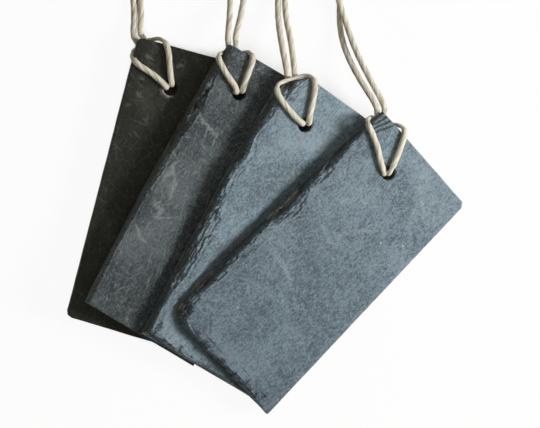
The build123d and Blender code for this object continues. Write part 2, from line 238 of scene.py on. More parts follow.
# Labels are measured in millimetres from the tip, their hole corner: x along the top edge, y up the left.
# Lean, roll and pitch turn a label about its tip. A chipped edge is a line on the face, each point with its
# foot at the outline. A flake is a place, a width and a length. A seat is how far the pair of cords stands
# from the middle of the hole, outward and aside, and how far apart the two are.
stone = {
    "thickness": 5.5, "thinnest": 0.7, "chipFloor": 1.0, "backRise": 0.15, "backSwell": 0.12,
    "holeRadius": 3.0, "holeReach": 1.0, "holeBevel": 0.5, "bevelDrop": 0.45,
    # The rim keys make a painted highlight on the side of the hole's rim that faces the lamp
    "rimHeading": (-0.5, -0.866), "rimStart": 0.3, "rimFade": 0.5,
    "cell": 0.42, "cutSlack": 1e-4, "wallCuts": 5, "sharpAngle": 50, "lowReach": 120,
}
labels = [
    {
        "number": 1, "tip": (-51.1, 76.9), "tipRise": 0.85, "lean": 15.0, "roll": 6.2, "pitch": 0.0,
        "outline": [
            (-1.38, -2.4), (-0.7, -0.7), (1.0, 0), (49.6, 0), (51.3, -0.7), (52.0, -2.4),
            (52.0, -118.3), (51.3, -120.0), (49.6, -120.7), (2.1, -119.1), (0.4, -118.4), (-0.32, -116.6),
        ],
        "leftChips": [], "lowChips": [], "cracks": [], "flakes": [], "softEdge": None, "tipSteps": None,
        "scars": [
            # the first of these, an arc round the hole's lower-left rim, is a painted highlight; the others
            # are wear
            [(13.3, -16.9), (13.6, -18.8), (14.9, -20.3), (16.8, -20.9), (19.2, -20.3)],
            [(3.6, -6.5), (5.0, -7.0), (7.3, -7.6)], [(3.9, -15.8), (5.0, -16.8)],
            [(17.2, -8.0), (18.3, -7.0), (20.0, -7.2)], [(3.9, -22.2), (6.1, -23.8)],
        ],
        "scarShare": 0.9, "lowPaintedShade": 0.0, "fibreShare": 0.3, "rimHighlight": 0.6,
        "hole": (17.0, 17.2), "exitSide": -0.7, "exitOut": 0.8, "seat": (1.3, 0.0, 2.5), "holeWidth": 0.95,
        "leftArm": [
            (12.7, -15.6, 6.7), (9.3, -13.9, 6.7), (5.5, -12.5, 6.7), (2.3, -11.6, 6.7), (-0.7, -10.0, 6.5),
            (-2.0, -8.6, 3.2), (-1.2, -6.7, -1.5), (0, -4.9, -3.8),
        ],
        "topArm": [
            (15.9, -13.0, 6.7), (14.1, -8.4, 6.7), (12.8, -4.5, 6.7), (11.2, -0.9, 6.6), (9.0, 1.4, 5.0),
            (6.2, 1.4, 2.6), (4.1, -0.1, -1.5), (3.0, -1.5, -3.8),
        ],
        "tones": ((0.003, 0.003, 0.002), (0.020, 0.020, 0.014), (0.15, 0.150, 0.128)),
    },
    {
        "number": 2, "tip": (-14.7, 74.0), "tipRise": 2.25, "lean": 29.6, "roll": 13.9, "pitch": -2.4,
        "outline": [(0, 0), (52.0, 0), (52.0, -122.9), (-0.8, -121.6), (-2.3, -70.0), (-1.9, -9.0)],
        "leftChips": [
            ((0.6, 1.0), (0.3, 1.0)), ((0.9, -6.0), (-1.0, -6.0)), ((2.0, -15.0), (-1.6, -15.0)),
            ((2.4, -30.0), (-1.7, -30.0)), ((1.2, -45.0), (-1.8, -45.0)), ((0.4, -60.0), (-1.9, -60.0)),
            ((-0.6, -75.0), (-1.9, -75.0)), ((-0.4, -90.0), (-1.4, -90.0)), ((0.1, -105.0), (-1.0, -105.0)),
            ((0.5, -124.0), (-0.4, -124.0)),
        ],
        "lowChips": [], "cracks": [[(3.1, -64.2), (5.8, -66.5), (8.4, -69.3)]], "flakes": [],
        "softEdge": None, "tipSteps": None,
        "scars": [
            [(1.0, -30.2), (4.5, -32.9), (9.1, -34.2), (13.1, -35.2), (13.6, -39.6)],
            [(4.8, -52.0), (2.7, -55.1), (4.5, -57.4), (2.5, -60.8), (2.8, -63.0)],
            [(5.8, -58.0), (7.4, -60.9), (8.2, -64.7), (9.1, -68.0)],
            [(6.5, -70.3), (4.6, -72.8), (8.2, -73.2), (7.2, -77.4), (13.5, -74.0)],
            [(2.1, -83.6), (5.6, -87.2), (9.2, -87.6)],
        ],
        "scarShare": 0.8, "lowPaintedShade": 0.35, "fibreShare": 0.4, "rimHighlight": 0.0,
        "hole": (12.8, 15.7), "exitSide": 1.8, "exitOut": 0.8, "seat": (0.8, 0.0, 2.5), "holeWidth": 1.0,
        "leftArm": [
            (9.4, -14.1, 6.7), (6.1, -12.7, 6.7), (2.8, -11.0, 6.7), (-0.1, -9.3, 6.7), (-2.4, -7.4, 6.2),
            (-2.2, -5.5, 3.2), (0.3, -4.2, -1.5), (2.5, -4.0, -3.8),
        ],
        "topArm": [
            (12.5, -11.9, 6.7), (11.9, -8.5, 6.7), (11.4, -5.0, 6.7), (10.9, -1.8, 6.7), (9.9, 0.4, 6.0),
            (8.0, 1.1, 3.6), (7.6, 0, -1.0), (7.3, -1.4, -3.8),
        ],
        "tones": ((0.024, 0.028, 0.029), (0.096, 0.119, 0.129), (0.33, 0.36, 0.355)),
    },
    {
        "number": 3, "tip": (14.7, 62.4), "tipRise": 0.45, "lean": 31.0, "roll": 18.1, "pitch": -1.1,
        "outline": [
            (-6.0, -9.3), (3.6, -0.3), (52.0, -3.6), (52.0, -125.5), (-1.5, -125.5), (-4.0, -85.0),
            (-5.9, -45.0),
        ],
        "leftChips": [
            ((3.8, 1.0), (3.4, 1.0)), ((1.2, -4.5), (-1.2, -4.4)), ((-0.3, -12.4), (-5.6, -11.0)),
            ((-1.2, -17.2), (-5.7, -17.2)), ((-3.3, -26.2), (-5.7, -26.2)), ((-4.2, -32.1), (-5.6, -32.1)),
            ((-1.9, -39.0), (-5.6, -39.0)), ((-3.9, -48.9), (-5.4, -48.9)), ((-3.2, -53.3), (-5.2, -53.3)),
            ((-1.9, -60.4), (-4.9, -60.4)), ((0.0, -70.0), (-4.4, -70.0)), ((0.9, -76.3), (-4.1, -76.3)),
            ((1.1, -86.4), (-3.6, -86.4)), ((2.0, -89.1), (-3.4, -89.1)), ((1.6, -96.4), (-3.0, -96.4)),
            ((-0.3, -100.2), (-2.8, -100.2)), ((-0.8, -105.9), (-2.4, -105.9)),
            ((-0.4, -114.1), (-1.9, -114.1)), ((0.6, -119.7), (-1.6, -119.7)),
            ((2.4, -127.0), (-1.2, -127.0)),
        ],
        "lowChips": [
            ((-8.0, -120.4), (-8.0, -124.8)), ((4.0, -122.8), (2.5, -125.2)),
            ((13.0, -123.2), (13.0, -125.2)), ((22.0, -124.4), (22.0, -125.2)),
            ((32.0, -123.8), (32.0, -125.2)), ((42.0, -124.9), (42.0, -125.3)),
            ((53.5, -125.4), (53.5, -125.5)),
        ],
        "cracks": [
            [(-2.2, -59.1), (-1.2, -68.0), (-0.5, -76.3), (0.2, -83.9)],
            [(0.6, -80.0), (0.0, -83.7), (1.8, -89.2), (2.7, -92.5)],
            [(1.9, -96.8), (3.0, -94.0)], [(-0.3, -41.4), (2.2, -43.7)],
        ],
        "flakes": [(2.0, -119.8, 1.2, 3.0), (14.8, -122.8, 0.8, 1.4), (20.6, -123.2, 0.6, 0.9)],
        "softEdge": None, "tipSteps": None,
        "scars": [[(2.9, -73.8), (6.2, -75.8), (8.3, -76.0)]],
        "scarShare": 0.4, "lowPaintedShade": 0.1, "fibreShare": 0.2, "rimHighlight": 0.0,
        "hole": (11.9, 17.8), "exitSide": -3.6, "exitOut": -1.5, "seat": (0.8, 0.0, 2.5), "holeWidth": 1.0,
        "leftArm": [
            (7.0, -17.5, 6.7), (3.2, -16.3, 6.7), (-0.5, -15.1, 6.7), (-4.3, -13.5, 6.7), (-6.6, -11.8, 6.3),
            (-7.1, -9.5, 4.6), (-4.9, -7.1, 2.2), (-2.8, -5.1, 1.0),
        ],
        "topArm": [
            (10.9, -13.3, 6.7), (9.7, -9.7, 6.7), (8.4, -6.2, 6.7), (7.0, -2.9, 6.7), (5.5, -0.3, 6.2),
            (3.9, 0.6, 4.0), (2.0, -0.2, 1.8), (0.1, -2.2, 1.0),
        ],
        "tones": ((0.100, 0.132, 0.155), (0.243, 0.326, 0.381), (0.40, 0.46, 0.48)),
    },
    {
        "number": 4, "tip": (48.2, 46.3), "tipRise": -5.45, "lean": 46.1, "roll": 17.2, "pitch": -3.2,
        "outline": [
            (0, 0), (50.9, -1.9), (52.6, -4.2), (57.0, -121.0), (1.7, -120.6), (-2.4, -116.5),
            (-3.6, -104.0), (-1.6, -18.0),
        ],
        "leftChips": [
            ((0.4, 0.8), (0.1, 0.8)), ((0.2, -4.0), (-0.1, -4.0)), ((-0.2, -11.2), (-0.8, -11.2)),
            ((-0.8, -19.2), (-1.35, -19.2)), ((0.6, -26.5), (-1.5, -26.5)), ((1.9, -34.4), (-1.7, -34.4)),
            ((0.7, -43.9), (-1.9, -43.9)), ((2.3, -47.1), (-2.0, -47.1)), ((4.1, -53.0), (-2.1, -53.0)),
            ((2.0, -61.0), (-2.3, -61.0)), ((-0.7, -67.2), (-2.4, -67.2)), ((0.2, -75.2), (-2.6, -75.2)),
            ((-1.0, -81.1), (-2.8, -81.1)), ((0.2, -84.9), (-2.9, -84.9)), ((0.2, -92.9), (-3.0, -92.9)),
            ((0.5, -98.5), (-3.2, -98.5)), ((-0.1, -104.5), (-3.2, -104.5)),
            ((-0.2, -110.7), (-2.6, -110.7)), ((3.2, -116.4), (-1.8, -116.6)),
            ((6.5, -122.0), (2.6, -122.0)),
        ],
        "lowChips": [
            ((-8.0, -113.5), (-8.0, -117.5)), ((6.0, -118.2), (2.0, -120.2)),
            ((10.3, -119.0), (10.3, -120.4)), ((19.1, -118.6), (19.1, -120.4)),
            ((27.5, -119.1), (27.5, -120.5)), ((33.8, -118.4), (33.8, -120.5)),
            ((41.5, -118.2), (41.5, -120.6)), ((52.1, -120.2), (52.1, -120.7)),
            ((59.0, -120.9), (59.0, -121.0)),
        ],
        "cracks": [
            [(4.3, -45.4), (3.6, -41.5), (6.0, -35.7)], [(6.3, -28.1), (2.5, -22.5), (2.1, -20.8)],
            [(6.3, -20.0), (4.9, -16.7)], [(4.3, -51.5), (2.9, -48.1)], [(3.3, -78.5), (1.5, -74.9)],
            [(3.7, -108.7), (5.8, -110.0)], [(8.4, -108.8), (14.5, -114.9)],
            [(33.0, -115.1), (39.0, -115.3)], [(43.9, -116.0), (50.6, -116.2)],
        ],
        "flakes": [
            (1.2, -114.8, 1.5, 3.2), (9.8, -118.5, 1.6, 1.2), (16.0, -118.9, 2.0, 1.7),
            (26.0, -119.0, 1.9, 1.4), (30.1, -119.7, 1.3, 0.9), (34.2, -119.3, 0.8, 1.4),
            (39.1, -119.8, 1.4, 0.9), (40.2, -117.3, 0.7, 1.5), (46.8, -118.8, 0.7, 1.6),
            (49.8, -116.5, 0.7, 1.9),
        ],
        "softEdge": {"line": 2, "top": 0.5, "low": 3.0, "length": 90, "slope": 0.4},
        "tipSteps": {
            "heading": (0.923, -0.386), "start": 7.4, "reach": 9, "fade": 1.5, "step": 1.75, "flat": 0.62,
            "fall": 0.5, "stray": 0.9, "straySize": 3.2, "dark": 0.85,
        },
        "scars": [
            [(0.9, -74.0), (3.9, -70.5), (14.0, -72.9), (21.9, -75.7), (31.4, -81.0), (36.9, -79.8)],
            [(34.0, -10.2), (41.1, -16.2), (45.4, -16.0)], [(21.8, -50.7), (27.0, -42.7), (34.3, -35.0)],
            [(12.7, -50.9), (21.8, -52.4), (28.9, -52.6)],
        ],
        "scarShare": 0.36, "lowPaintedShade": 0.56, "fibreShare": 0.35, "rimHighlight": 0.0,
        "hole": (19.3, 16.0), "exitSide": -0.1, "exitOut": 0.8,
        "seat": (-0.2, -1.05, 1.9), "holeWidth": 0.76,
        "leftArm": [
            (12.7, -15.1, 6.7), (9.0, -12.8, 6.7), (5.7, -11.2, 6.7), (1.8, -9.7, 6.7), (-1.6, -8.6, 6.3),
            (-2.9, -7.3, 3.6), (-1.8, -5.6, 0), (1.2, -4.2, -3.8),
        ],
        "topArm": [
            (17.4, -11.0, 6.7), (15.4, -6.6, 6.7), (13.4, -2.7, 6.7), (11.9, 0.1, 6.6), (10.1, 1.3, 5.4),
            (8.6, 0.9, 3.0), (7.8, -0.2, -0.5), (7.5, -1.9, -3.8),
        ],
        "tones": ((0.084, 0.111, 0.132), (0.216, 0.289, 0.343), (0.40, 0.46, 0.48)),
    },
]

# Cord sizes in millimetres, with the levels measured from the stone's back
cordSet = {
    "radius": 1.2, "fullness": 1.05, "plies": 3, "layLength": 17.0, "grooveDepth": 0.08, "ringPoints": 24,
    "pair": 2.5, "exitPair": 3.2, "jointGap": 0.35,
    "backLevel": -1.3, "backRun": 3.2, "holeStep": 2.6, "frontLevel": 6.7,
    "squeeze": 0.33, "squeezeTop": 5.9, "squeezeTopFade": 0.8, "squeezeLow": -1.6, "squeezeLowFade": 1.2,
    "holeMargin": 0.6, "holeFade": 1.2,
    "hitchSteps": 8, "knotSteps": 14, "strandSteps": 26,
}


def labelMatrix(label):
    below = (label["number"] - 1) * stone["thickness"]
    height = 4 * cordSet["radius"] + below + label["tipRise"]
    turn = (Matrix.Rotation(math.radians(-label["lean"]), 4, "Z")
            @ Matrix.Rotation(math.radians(label["roll"]), 4, "Y")
            @ Matrix.Rotation(math.radians(label["pitch"]), 4, "X"))
    place = Vector((*label["tip"], height)) * milli
    return Matrix.Translation(place) @ turn @ Matrix.Scale(milli, 4)


def holePlace(label):
    across, down = label["hole"]
    return Vector((across, -down, 0))


def smoothStep(value):
    value = min(1.0, max(0.0, value))
    return value * value * (3 - 2 * value)


def terrace(value, flat):
    floor = math.floor(value)
    share = (value - floor - flat) / (1 - flat)
    return floor + smoothStep(share), share


def edgeLines(label):
    corners = [Vector(corner) for corner in label["outline"]]
    lines = []
    for corner, following in zip(corners, corners[1:] + corners[:1]):
        run = (following - corner).normalized()
        lines.append((corner, Vector((-run.y, run.x))))
    return lines


def chipLines(label):
    # Each chipped edge as its face line and foot line over the way along it
    lines = []
    for chips, across, along in (("leftChips", 0, 1), ("lowChips", 1, 0)):
        if label[chips]:
            face = sorted((face[along], face[across]) for face, _ in label[chips])
            foot = sorted((foot[along], foot[across]) for _, foot in label[chips])
            lines.append((across, along, face, foot))
    return lines


def lineRuns(lines):
    # Each straight run of a crack or scar, with how far along it starts and ends
    runs = []
    for line in lines:
        places = [Vector(place) for place in line]
        count = len(places) - 1
        for index in range(count):
            runs.append((places[index], places[index + 1], index / count, (index + 1) / count))
    return runs


def brokenLine(points, place):
    # Where a line through (place, value) points stands at this place
    for (low, first), (high, second) in zip(points, points[1:]):
        if place <= high:
            return first + (second - first) * (place - low) / (high - low)
    return points[-1][1]


def nearestEdge(lines, place):
    # How far inside the outline a place is, and the way out
    return min((((corner - place).dot(out), out) for corner, out in lines), key=lambda pair: pair[0])


# Relief of the stone in millimetres. A Size is the length of a wave or grain, and Dark is a share of black:
# the cracks' own dark, and painted shade on risers, in flake hollows and along the fringe.
relief = {
    "seedStep": 17.3, "fractal": (0.9, 2.1, 4),
    "swell": 0.22, "swellSize": 26.0, "grit": 0.05, "gritSize": 1.2, "cleft": 0.10, "cleftSize": 36.0,
    "cleftDrawn": 1.5, "cleftSeed": 40, "cleftSteps": 3.2, "cleftFlat": 0.75,
    "wobble": 0.25, "wobbleSize": 8.0, "wobbleReach": 2.0, "wear": 0.6, "wearSize": 2.3, "wearFall": 0.7,
    "ragged": 1.6, "raggedSize": 2.3, "raggedFractal": (0.8, 2.1, 4), "raggedWidth": 3, "drawnOut": 5.0,
    "narrowest": 0.4, "plateShare": 0.5, "plateFall": 0.32,
    "lamina": 0.75, "laminaFlat": 0.76, "laminaStart": 0.25, "laminaStray": 0.8, "laminaDark": 0.9,
    # Where a chipped edge darkens: the broken stone's own darker tone, deepened as painted shade on its
    # steep outer part
    "chipStart": 0.4, "chipFade": 0.35, "chipEase": 0.5, "lowChipShade": 0.4,
    "fringe": 3.2, "fringeDrop": 0.22, "fringeWave": 0.9, "fringeWaveSize": 1.5, "fringeShownSize": 1.2,
    "fringeCracks": ((0.8, -0.05), (1.9, 0.2)), "fringeDark": 0.9,
    "lineStray": 0.6, "lineStraySize": 1.3, "lineSeed": 1, "lineThin": 0.3, "scarWidth": 1.5,
    "crackWidth": 0.4, "crackDepth": 0.25, "crackDark": 0.8,
    "flakeDrop": 0.5, "flakeRagged": 1.4, "flakeSize": 0.9, "flakeDark": 0.8, "flakeRim": 1.6,
    "flakeFade": 1.2, "wallRagged": 0.35, "wallSize": 7, "wallLayer": 0.7, "wallChipShade": 0.8,
}
noise.seed_set(relief["lineSeed"])  # without it the vector noise differs in every run


def alongGrain(x, y, seed, along):
    # A place in a frame drawn out along a chipped edge, for flakes that are longer than wide
    spot = Vector((x, y, seed))
    spot[along] /= relief["drawnOut"]
    return spot / relief["raggedSize"]


def chipAt(chips, x, y, seed):
    # How far down a chipped edge this place is, from 0 on the face to 1 at its foot, how far in from it,
    # and which way that edge runs
    share, reach, way = -math.inf, math.inf, 1
    place = (x, y)
    for across, along, face, foot in chips:
        stray = relief["ragged"] * noise.fractal(alongGrain(x, y, seed, along), *relief["raggedFractal"])
        edge = brokenLine(face, place[along])
        width = max(relief["narrowest"], edge - brokenLine(foot, place[along]))
        inward = place[across] - edge + stray * min(1.0, width / relief["raggedWidth"])
        if -inward / width > share:
            share, way = -inward / width, along
        reach = min(reach, inward)
    return share, reach, way


def chipDepth(share):
    # The inner part of a chipped edge is flat flakes, and the outer part falls steeply
    inner, fall = relief["plateShare"], relief["plateFall"]
    depth = stone["thickness"] - stone["chipFloor"]
    if share < inner:
        return depth * fall * share / inner
    return depth * (fall + (1 - fall) * (min(1.0, share) - inner) / (1 - inner))


def lineShare(runs, x, y, seed, wide):
    # How strong the listed lines are here: each strays from its runs and thins out to its ends
    stray = noise.noise_vector(Vector((x, y, seed)) / relief["lineStraySize"]) * relief["lineStray"]
    spot = Vector((x + stray.x, y + stray.y))
    strongest = 0.0
    for start, end, first, last in runs:
        run = end - start
        share = min(1.0, max(0.0, (spot - start).dot(run) / run.length_squared))
        gap = (spot - start - run * share).length
        if gap < wide:
            along = first + (last - first) * share
            width = wide * max(relief["lineThin"], 4 * along * (1 - along))
            strongest = max(strongest, 1 - gap / width)
    return strongest


def rivenDrop(x, y, seed):
    # The split face swells, has low steps and is gritty
    spot = Vector((x, y, 0))
    swell = noise.fractal(spot / relief["swellSize"] + Vector((seed, 0, 0)), *relief["fractal"])
    split = Vector((x * relief["cleftDrawn"], y, relief["cleftSeed"] * seed)) / relief["cleftSize"]
    cleft, _ = terrace(relief["cleftSteps"] * noise.noise(split), relief["cleftFlat"])
    grit = noise.noise(spot / relief["gritSize"] + Vector((0, seed, 0)))
    drop = relief["swell"] * (0.5 - 0.5 * swell) + relief["cleft"] * (1.5 - 0.5 * cleft)
    return max(0.0, drop) + relief["grit"] * (1 + grit)


def wornDrop(label, lines, x, y, seed):
    # Every edge is a little worn, and a soft edge slopes off in a strip that widens downwards
    place = Vector((x, y))
    inside, _ = nearestEdge(lines, place)
    uneven = noise.noise(Vector((x, y, 0)) / relief["wearSize"] + Vector((0, 0, seed)))
    wear = relief["wear"] * (1 + 0.5 * uneven)
    drop = relief["wearFall"] * max(0.0, wear - inside) ** 2 / wear
    soft = label["softEdge"]
    if soft:
        corner, out = lines[soft["line"]]
        width = soft["top"] + (soft["low"] - soft["top"]) * smoothStep(-y / soft["length"])
        drop += soft["slope"] * max(0.0, width - (corner - place).dot(out))
    return drop


def chipRelief(chips, x, y, seed):
    # The drop on a chipped edge or its cracked fringe, how chipped it is, and how dark its lines are:
    # painted shade on the risers and the fringe cracks' own dark
    share, reach, along = chipAt(chips, x, y, seed)
    if share > 0:
        stray = relief["laminaStray"] * noise.noise(alongGrain(x, y, 2 * seed, along))
        laminae = chipDepth(share) / relief["lamina"] + relief["laminaStart"] + stray
        stepped, riser = terrace(max(0.0, laminae), relief["laminaFlat"])
        # the steep outer part is darkened, partly the broken stone's own tone and partly painted shade
        chip = smoothStep((share - relief["chipStart"]) / relief["chipFade"])
        chip *= 1.0 if along else relief["lowChipShade"]
        # painted shade along the risers of the laminae
        seam = relief["laminaDark"] - relief["chipEase"] * chip if 0 < riser < 1 else 0.0
        return relief["lamina"] * stepped, chip, seam
    if reach >= relief["fringe"]:
        return 0.0, 0.0, 0.0
    wave = relief["fringeWave"] * noise.noise(alongGrain(x, y, 3 * seed, along) / relief["fringeWaveSize"])
    shown = noise.noise(alongGrain(x, y, 4 * seed, along) / relief["fringeShownSize"])
    seam = 0.0
    for distance, start in relief["fringeCracks"]:
        gap = abs(reach - distance - wave) / relief["crackWidth"]
        if shown > start and gap < 1:
            seam = max(seam, relief["fringeDark"] * (1 - gap))
    return relief["fringeDrop"] * (1 - reach / relief["fringe"]), 0.0, seam


def flakeRelief(flakes, x, y):
    # The drop where a flake has broken out, and the painted shade in its hollow
    drop = seam = 0.0
    ragged = relief["flakeRagged"] * noise.noise(Vector((x, y, 0)) / relief["flakeSize"])
    for flakeX, flakeY, wide, long in flakes:
        far = ((x - flakeX) / wide) ** 2 + ((y - flakeY) / long) ** 2 + ragged
        if far < 1:
            drop += relief["flakeDrop"] * (1 - max(0.0, far))
            dark = smoothStep(relief["flakeRim"] - relief["flakeFade"] * far)
            seam = max(seam, relief["flakeDark"] * dark)
    return drop, seam


def tipRelief(steps, x, y, seed):
    # The drop on the steps broken across a tip, and the painted shade on their risers
    if not steps or y <= -steps["reach"]:
        return 0.0, 0.0
    off = steps["start"] - Vector(steps["heading"]).dot(Vector((x, y)))
    off += steps["stray"] * noise.noise(Vector((x, y, seed)) / steps["straySize"])
    if off <= 0:
        return 0.0, 0.0
    stepped, riser = terrace(off / steps["step"], steps["flat"])
    shown = smoothStep((y + steps["reach"]) / steps["fade"])
    return steps["fall"] * stepped * shown, steps["dark"] * shown if 0 < riser < 1 else 0.0


def faceHeight(label, lines, chips, cracks, seed, x, y):
    # Height of the face over the stone's back, how chipped it is, and how dark its lines are: painted shade
    # on risers and in flake hollows, and the cracks' own dark
    chipDrop, chip, chipSeam = chipRelief(chips, x, y, seed)
    flakeDrop, flakeSeam = flakeRelief(label["flakes"], x, y)
    tipDrop, tipSeam = tipRelief(label["tipSteps"], x, y, seed)
    crack = lineShare(cracks, x, y, seed, relief["crackWidth"])
    drop = rivenDrop(x, y, seed) + wornDrop(label, lines, x, y, seed) + chipDrop
    drop += relief["crackDepth"] * crack + flakeDrop + tipDrop
    seam = max(chipSeam, relief["crackDark"] * crack, flakeSeam, tipSeam)
    return max(stone["thinnest"], stone["thickness"] - drop), chip, seam


def slateSheet(label, lines):
    # A flat grid cut to the outline, with the hole
    shape = bmesh.new()
    corners = [Vector(corner) for corner in label["outline"]]
    lowX, highX = min(c.x for c in corners), max(c.x for c in corners)
    lowY, highY = min(c.y for c in corners), max(c.y for c in corners)
    across = round((highX - lowX) / stone["cell"])
    along = round((highY - lowY) / stone["cell"])
    bmesh.ops.create_grid(shape, x_segments=across, y_segments=along, size=0.5)
    widest = max(v.co.x for v in shape.verts) * 2
    size = ((highX - lowX) / widest, (highY - lowY) / widest, 1)
    bmesh.ops.scale(shape, verts=shape.verts, vec=size)
    bmesh.ops.translate(shape, verts=shape.verts, vec=((lowX + highX) / 2, (lowY + highY) / 2, 0))
    for corner, out in lines:
        everything = shape.verts[:] + shape.edges[:] + shape.faces[:]
        bmesh.ops.bisect_plane(shape, geom=everything, dist=stone["cutSlack"], plane_co=(*corner, 0),
                               plane_no=(*out, 0), clear_outer=True)
    hole = holePlace(label)
    inHole = [f for f in shape.faces if (f.calc_center_median() - hole).length < stone["holeRadius"]]
    bmesh.ops.delete(shape, geom=inHole, context="FACES")
    for vert in shape.verts:
        if vert.is_boundary and (vert.co - hole).length < stone["holeRadius"] + stone["holeReach"]:
            vert.co = hole + (vert.co - hole).normalized() * stone["holeRadius"]
    return shape, hole


def wanderEdges(shape, lines, seed):
    # The sawn edges wander a little
    for vert in shape.verts:
        gap, out = nearestEdge(lines, vert.co.xy)
        near = 1 - gap / relief["wobbleReach"]
        if near > 0:
            wander = 0.5 + 0.5 * noise.noise(vert.co / relief["wobbleSize"] + Vector((0, 0, seed)))
            vert.co -= Vector((*out, 0)) * (relief["wobble"] * wander * near)


def roughWalls(shape, top, layers, lines, hole, seed):
    # The walls are cut across and broken into thin layers, apart from the drilled one
    walls = [e for e in shape.edges if (e.verts[0] in top) != (e.verts[1] in top)]
    cut = bmesh.ops.subdivide_edges(shape, edges=walls, cuts=stone["wallCuts"])["geom_inner"]
    for vert in (g for g in cut if isinstance(g, bmesh.types.BMVert)):
        vert[layers["seam"]] = 0.0
        # walls are darkened, partly darker broken stone and partly painted shade; the hole's wall is
        # darkest, as painted shade in the hole
        if (vert.co.xy - hole.xy).length < stone["holeRadius"] + stone["holeBevel"]:
            vert[layers["chip"]] = 1.0
            continue
        vert[layers["chip"]] = relief["wallChipShade"]
        _, out = nearestEdge(lines, vert.co.xy)
        x, y = vert.co.xy / relief["wallSize"]
        broken = 0.5 + 0.5 * noise.noise(Vector((x, y, vert.co.z / relief["wallLayer"] + seed)))
        vert.co -= Vector((*out, 0)) * (relief["wallRagged"] * broken)


def makeSlate(label):
    number = label["number"]
    seed = relief["seedStep"] * number
    lines = edgeLines(label)
    chips = chipLines(label)
    cracks = lineRuns(label["cracks"])
    scars = lineRuns(label["scars"])
    shape, hole = slateSheet(label, lines)
    layers = {mark: shape.verts.layers.float.new(mark) for mark in ("chip", "seam", "scar", "low", "rim")}
    wanderEdges(shape, lines, seed)
    grown = bmesh.ops.extrude_face_region(shape, geom=shape.faces[:], use_keep_orig=True)["geom"]
    top = {g for g in grown if isinstance(g, bmesh.types.BMVert)}
    for vert in shape.verts:
        x, y = vert.co.xy
        # painted shade: how far down the face is, which darkens it towards its low end
        vert[layers["low"]] = -y / stone["lowReach"]
        if vert not in top:
            swell = noise.fractal(Vector((x, y, seed)) / relief["swellSize"], *relief["fractal"])
            vert.co.z = stone["backRise"] + stone["backSwell"] * swell
            continue
        height, chip, seam = faceHeight(label, lines, chips, cracks, seed, x, y)
        vert[layers["chip"]] = chip
        vert[layers["seam"]] = seam
        vert[layers["scar"]] = lineShare(scars, x, y, seed, relief["scarWidth"])
        fromHole = vert.co.xy - hole.xy
        bevel = 1 - (fromHole.length - stone["holeRadius"]) / stone["holeBevel"]
        if bevel > 0:
            height -= stone["bevelDrop"] * bevel
            # painted highlight: the rim's bevel is made pale on its lower-left side, which faces the lamp
            facing = fromHole.normalized().dot(Vector(stone["rimHeading"]))
            lit = smoothStep((facing - stone["rimStart"]) / stone["rimFade"])
            vert[layers["rim"]] = label["rimHighlight"] * lit
        vert.co.z = height
    roughWalls(shape, top, layers, lines, hole, seed)
    bmesh.ops.recalc_face_normals(shape, faces=shape.faces)
    bmesh.ops.transform(shape, matrix=labelMatrix(label), verts=shape.verts)
    for face in shape.faces:
        face.smooth = True
    piece = newPiece(f"slate{number}", shape, slateFinish(label))
    piece.data.set_sharp_from_angle(angle=math.radians(stone["sharpAngle"]))
    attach(piece, f"label_{number}")
    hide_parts(f"slate_{number}")
    print(piece.name, len(piece.data.polygons), "faces")


# Slate finish. A grain is a fineness, a detail, a roughness and a warp, and may be drawn out by a heading
# and a stretch. A fibre is a heading, a stretch, a fineness, and where it starts and is full.
slateLook = {
    "shift": (0.31, 0.17),
    "grains": {
        "speck": (1200, 3.0, 0.65), "hatch": (1300, 2.0, 0.6, 0.6), "mottle": (260, 4.0, 0.6),
        "patch": (42, 4.0, 0.55, 0.4), "streak": (700, 3.0, 0.6), "smudge": (120, 5.0, 0.7, 0.8),
    },
    "drawnOut": {"hatch": (-12, 2.6), "streak": (0, 9)},
    "depthShares": {"speck": 0.38, "hatch": 0.3, "mottle": 0.14, "patch": 0.22},
    "depthStops": [(0.45, 0.0), (0.59, 1.0)],
    "patchStops": [(0.5, 0.0), (0.72, 0.2)],
    "gritStops": [(0.40, 0.0), (0.60, 1.0)],
    "smudgeStops": [(0.6, 0.0), (0.78, 0.5)],
    "fibres": [
        (14, 10, 1000, 0.60, 0.72), (-36, 10, 1000, 0.60, 0.72), (62, 9, 900, 0.61, 0.73),
        (88, 9, 950, 0.61, 0.73),
    ],
    "fibreGrain": (2.0, 0.55, 1.2),
    "scarLeast": 0.45,
    "scarGrit": 0.5,
    "lowShadeTone": (0.48, 0.52, 0.55, 1),
    "fleckCells": 150,
    "fleckStops": [(0.03, 0.8), (0.08, 0.0)],
    "fleckPick": [(0.66, 0.0), (0.68, 1.0)],
    "fleckTone": (0.6, 0.62, 0.6, 1),
    "chipStops": [(0.45, 0.0), (0.7, 1.0)],
    "chipAndShadeTones": ((0.026, 0.024, 0.017, 1), (0.095, 0.090, 0.070, 1)),
    "chipAndShadeShare": 0.85,
    "seamAndShadeTone": (0.008, 0.008, 0.007, 1),
    "seamAndShadeShare": 0.85,
    "rimHighlightTone": (0.60, 0.65, 0.66, 1),
    "roughness": 0.6,
    "roughnessVary": 0.3,
    "gloss": 0.25,
    "bumpShares": {"speck": 0.5, "mottle": 0.5, "streak": 0.2},
    "bumpStrength": 0.4,
    "bumpDepth": 0.0004,
}


def slateGrains(finish, label):
    # A frame that is turned with the label, and the grains in it
    shiftX, shiftY = slateLook["shift"]
    sockets = {
        "Vector": finish.node("ShaderNodeTexCoord", None, None, "Object"),
        "Location": (shiftX * label["number"], shiftY, 0),
        "Rotation": (0, 0, math.radians(label["lean"])),
    }
    turned = finish.node("ShaderNodeMapping", None, sockets)
    grains = {}
    for name, grain in slateLook["grains"].items():
        drawnOut = slateLook["drawnOut"].get(name)
        place = finish.drawn(turned, *drawnOut) if drawnOut else turned
        grains[name] = finish.grain(place, *grain)
    return turned, grains


